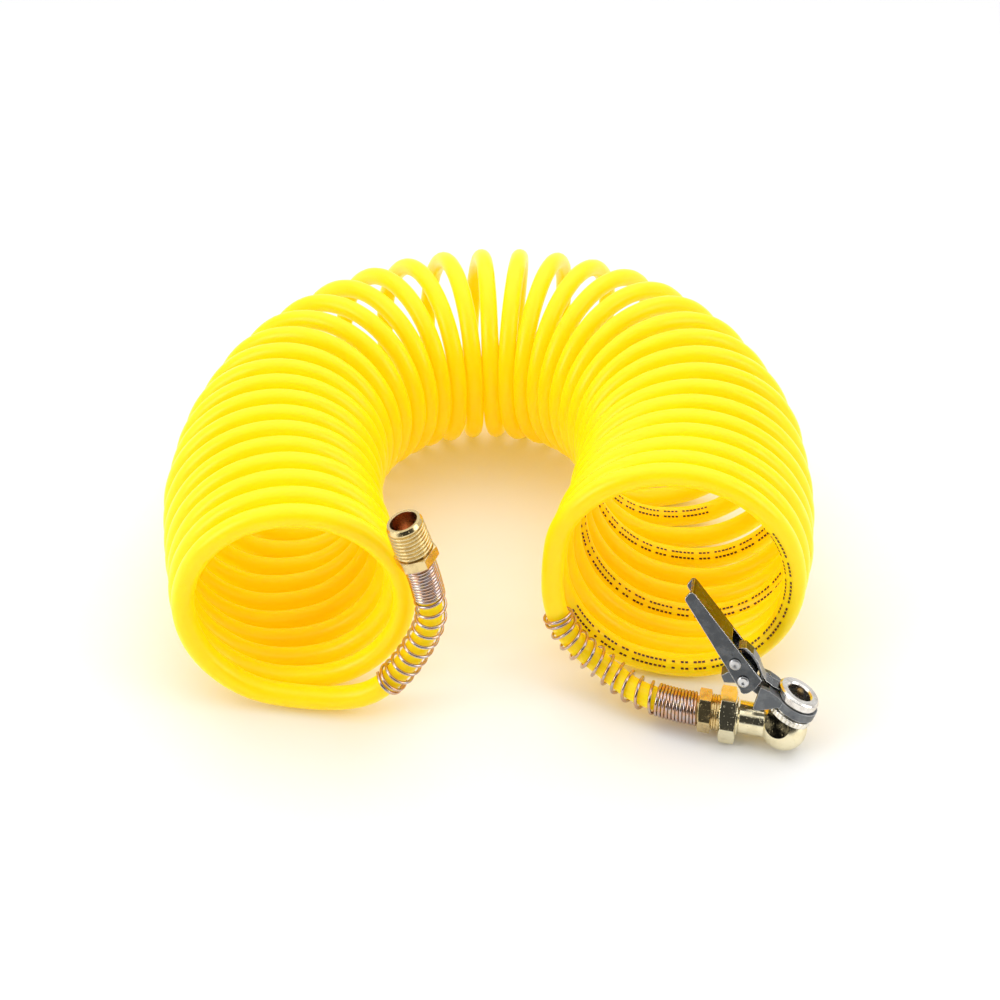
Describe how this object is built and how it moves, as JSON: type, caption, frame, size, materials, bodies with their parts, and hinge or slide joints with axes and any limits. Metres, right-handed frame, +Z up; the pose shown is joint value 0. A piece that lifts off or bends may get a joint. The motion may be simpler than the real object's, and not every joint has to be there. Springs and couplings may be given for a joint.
{
  "type": "recoil air hose with tyre chuck",
  "caption": "Coiled plastic air hose laid in a horseshoe, with spring-guarded ends: a tapered male pipe fitting and a clip-on ball-foot tyre chuck with a thumb lever.",
  "frame": {"origin": "on the floor, below the middle of the whole outline", "axes": "+Z up; +Y towards the closed end of the horseshoe; +X towards the tyre chuck's side"},
  "size_m": [0.2634, 0.2586, 0.092],
  "materials": {
    "hose": "gloss, slightly translucent",
    "brass": "machined",
    "guard_steel": "zinc plated wire with a faint pink and gold sheen",
    "ferrule_brass": "satin",
    "plated_body": "bright pale gold plating",
    "plated_nut": "bright plating",
    "nose_plate": "bright plating",
    "bracket_cast": "grey die casting, satin",
    "lever_steel": "plated pressed steel",
    "rivet_steel": "satin",
    "spring_wire": "satin",
    "black_rubber": "matte"
  },
  "bodies": {
    "hose": {"hose_coil": "hose", "hose_tail_inlet": "hose", "hose_tail_chuck": "hose", "spring_guard_inlet": "guard_steel", "spring_guard_chuck": "guard_steel", "inlet_fitting": "brass", "inlet_ferrule": "ferrule_brass", "outlet_fitting": "brass", "outlet_ferrule": "ferrule_brass", "chuck_body": "plated_body", "knurled_nut": "plated_nut", "valve_seat": "ferrule_brass", "nose_ring": "nose_plate", "valve_gasket": "black_rubber", "plunger_spring": "spring_wire", "clip_bracket": "bracket_cast", "pivot_rivet": "rivet_steel", "lever_spring": "spring_wire"},
    "lever": {"thumb_lever": "lever_steel", "link_rivet": "rivet_steel"},
    "jaw": {"jaw_strap": "lever_steel"},
    "plunger": {"valve_plunger": "ferrule_brass", "plunger_seal": "black_rubber"}
  },
  "joints": [
    {"name": "lever_pivot", "type": "hinge", "parent": "hose", "child": "lever", "pos_m": [0.09299, -0.11444, 0.02594], "axis": [-0.223, -0.9592, 0.1736], "range_deg": [0, 24], "stiffness_Nm_per_rad": 0.05, "springref_deg": -17.19, "deforming": ["lever_spring"]},
    {"name": "jaw_link", "type": "hinge", "parent": "lever", "child": "jaw", "pos_m": [0.09007, -0.11267, 0.03195], "axis": [-0.223, -0.9592, 0.1736], "range_deg": [-18, 0]},
    {"name": "plunger_slide", "type": "slide", "parent": "hose", "child": "plunger", "axis": [-0.3701, -0.0815, -0.9254], "range_m": [0, 0.0016], "stiffness_N_per_m": 300, "springref_m": -0.003, "deforming": ["plunger_spring"]}
  ],
  "couplings": [
    {"joint": "jaw_link", "follows": "lever_pivot", "ratio": -0.735}
  ]
}
